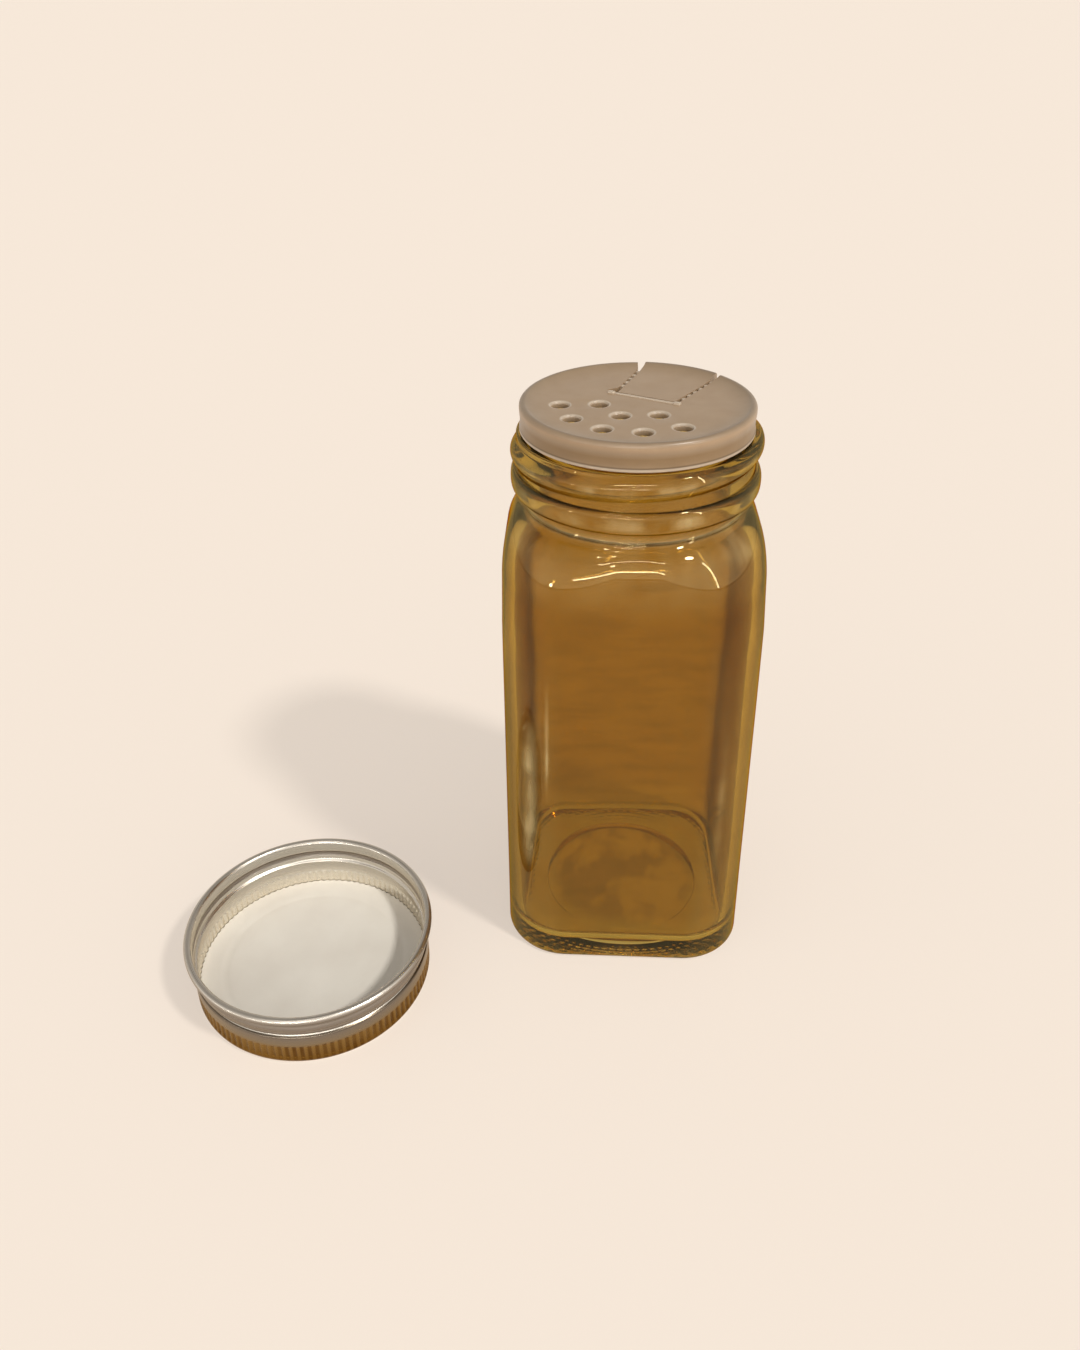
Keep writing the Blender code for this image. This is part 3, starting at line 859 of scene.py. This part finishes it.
foam, foam_shader, foam_place = new_finish("off_white_foam", {})
feed(tone(grain(foam_place, 90, 5), [
    (0.30, (0.77, 0.725, 0.655)),
    (0.70, (0.85, 0.815, 0.745)),
]), foam_shader.inputs["Base Color"])
feed(spread(grain(foam_place, 700, 2), 0.55, 0.75), foam_shader.inputs["Roughness"])
pitted(foam_shader, grain(foam_place, 3800, 3), 0.00003, 0.5)

liner_edge = 0.00014
turns = np.linspace(0, math.tau, cap_sides, endpoint=False)
snug = cap_wall_radius(liner_high) - rib_rise(turns, liner_high) - sheet - 0.00002 - liner_radius
liner_outline = [(0.008, liner_low), (liner_radius - liner_edge, liner_low)]
liner_outline.append((liner_radius, liner_low + liner_edge))
liner_outline += arc((liner_radius - liner_edge, liner_high - liner_edge), liner_edge, 0, 90, 4)
for radius in np.linspace(liner_radius - 0.0006, 0.0006, 60):
    pressed = math.exp(-((radius - press_radius) / 0.0007) ** 2)
    sag = 0.00012 * (1 - (radius / liner_radius) ** 2)
    liner_outline.append((radius, liner_high - press_depth * pressed - sag))
liner_rings = [ring(radius + snug * min(max((radius - liner_radius) / 0.0006 + 1, 0), 1), height, turns)
               for radius, height in liner_outline]
first, last = (np.array([[0.0, 0.0, liner_outline[end][1]]]) for end in (0, -1))
liner = skin_over("foam_liner", [first, *liner_rings, last], cap_axis)
liner.data.materials.append(foam)
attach(liner, "cap")
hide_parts("cap_liner")

# Table, lamps and camera
# A plain pale tabletop that runs out of the picture, soft lamps from the right, above and the left,
# and the camera where the photograph was taken from.
pale = (0.930, 0.823, 0.723)
table_half, table_drop = 14.0, 0.00005
top = bpy.data.meshes.new("tabletop")
top.from_pydata([(x * table_half, y * table_half, -table_drop)
                 for x, y in ((-1, -1), (1, -1), (1, 1), (-1, 1))], [], [(0, 1, 2, 3)])
table = bpy.data.objects.new("tabletop", top)
bpy.context.scene.collection.objects.link(table)


def seen_directly(tree, in_gloss, through_glass):
    """One where a ray comes from the eye, and these shares of it in gloss and through glass."""
    path = add_node(tree, "ShaderNodeLightPath").outputs
    mirrored = reckon("MULTIPLY", path["Is Glossy Ray"], in_gloss)
    behind = reckon("MULTIPLY", path["Is Transmission Ray"], through_glass)
    return reckon("MAXIMUM", reckon("MAXIMUM", path["Is Camera Ray"], mirrored), behind)


def either_of(tree, share, first, second, output):
    """Ends a tree in a mix of two shaders."""
    both = add_node(tree, "ShaderNodeMixShader")
    feed(share, both.inputs["Fac"])
    feed(first.outputs[0], both.inputs[1])
    feed(second.outputs[0], both.inputs[2])
    feed(both.outputs["Shader"], add_node(tree, output).inputs["Surface"])


surface = bpy.data.materials.new("pale_tabletop")
surface.use_nodes = True
surface.node_tree.nodes.clear()
matt = add_node(surface.node_tree, "ShaderNodeBsdfDiffuse")
feed(pale, matt.inputs["Color"])
shown = add_node(surface.node_tree, "ShaderNodeEmission")
feed(pale, shown.inputs["Color"])
glow = reckon("MULTIPLY", seen_directly(surface.node_tree, 1.0, 0.7), 0.6)
either_of(surface.node_tree, glow, matt, shown, "ShaderNodeOutputMaterial")
top.materials.append(surface)

room = bpy.data.worlds.new("soft_room")
room.use_nodes = True
room.node_tree.nodes.clear()
compass = axes_of(add_node(room.node_tree, "ShaderNodeTexCoord").outputs["Generated"])
above_horizon = tone(compass["Z"], [
    (0.00, (0.00, 0.00, 0.00)),
    (0.03, (1.00, 1.00, 1.00)),
    (0.35, (0.62, 0.62, 0.62)),
    (0.78, (0.12, 0.12, 0.12)),
])
in_front = spread(compass["Y"], 0.35, 1.0, 0.35, -0.35)
bright_wall = reckon("MULTIPLY", reckon("MULTIPLY", above_horizon, in_front), 2.15)
ambient = add_node(room.node_tree, "ShaderNodeBackground")
feed((1.0, 0.95, 0.88), ambient.inputs["Color"])
feed(reckon("ADD", bright_wall, 0.12), ambient.inputs["Strength"])
beyond = add_node(room.node_tree, "ShaderNodeBackground")
feed(pale, beyond.inputs["Color"])
direct = seen_directly(room.node_tree, 0.25, 1.0)
either_of(room.node_tree, direct, ambient, beyond, "ShaderNodeOutputWorld")
bpy.context.scene.world = room

lamp_aim = Vector((jar_axis.x, jar_axis.y, 0.08))


def towards(azimuth, elevation, distance):
    """A place in the room, from its direction in degrees and its distance from the jar."""
    a, e = math.radians(azimuth), math.radians(elevation)
    way = Vector((math.cos(a) * math.cos(e), math.sin(a) * math.cos(e), math.sin(e)))
    return lamp_aim + way * distance


def lamp_at(name, kind, place, strength, colour, size=None):
    """Hangs a lamp at place, aimed at the jar's shoulder; flat lamps only give gloss its highlights."""
    lamp = bpy.data.lights.new(name, kind)
    lamp.energy = strength
    lamp.color = colour
    if kind == "SUN":
        lamp.angle = math.radians(6)
    else:
        lamp.shape = "RECTANGLE"
        lamp.size, lamp.size_y = size
    holder = bpy.data.objects.new(name, lamp)
    holder.visible_diffuse = kind == "SUN"
    holder.location = place
    holder.rotation_euler = (lamp_aim - place).to_track_quat("-Z", "Y").to_euler()
    bpy.context.scene.collection.objects.link(holder)


lamp_at("main_lamp", "SUN", towards(-34, 50, 1.5), 1.8, (1.0, 0.97, 0.92))
lamp_at("strip_lamp", "AREA", towards(-33, 18, 1.6), 3.0, (1.0, 0.98, 0.95), (0.045, 0.95))
lamp_at("low_lamp", "AREA", towards(-103, 11, 1.5), 4.6, (1.0, 0.97, 0.92), (1.25, 0.032))
lamp_at("wide_lamp", "AREA", towards(-92, 36, 1.5), 3.2, (1.0, 0.97, 0.92), (0.9, 0.025))
for number, (azimuth, elevation) in enumerate(((-147, 3), (-124, 58), (-108, 64), (-96, 26))):
    lamp_at(f"small_lamp_{number + 1}", "AREA", towards(azimuth, elevation, 1.5), 0.8, (1.0, 0.97, 0.92),
            (0.09, 0.07))

eye = Vector((0.021296, -0.158435, 0.165464))
yaw, pitch, roll = -0.0819, 0.5304, -0.0288
forward = Vector((math.sin(yaw) * math.cos(pitch), math.cos(yaw) * math.cos(pitch), -math.sin(pitch)))
right = Vector((math.cos(yaw), -math.sin(yaw), 0.0))
above = right.cross(forward)
right, above = (math.cos(roll) * right + math.sin(roll) * above,
                math.cos(roll) * above - math.sin(roll) * right)
lens = bpy.data.cameras.new("photo_camera")
lens.sensor_width = 36.0
lens.lens = 30.07
lens.shift_x = 0.02574
lens.shift_y = -0.0529
lens.clip_start = 0.01
camera = bpy.data.objects.new("photo_camera", lens)
camera.matrix_world = Matrix((right, above, -forward)).transposed().to_4x4()
camera.location = eye
bpy.context.scene.collection.objects.link(camera)
bpy.context.scene.camera = camera
bpy.context.scene.view_settings.view_transform = "Standard"
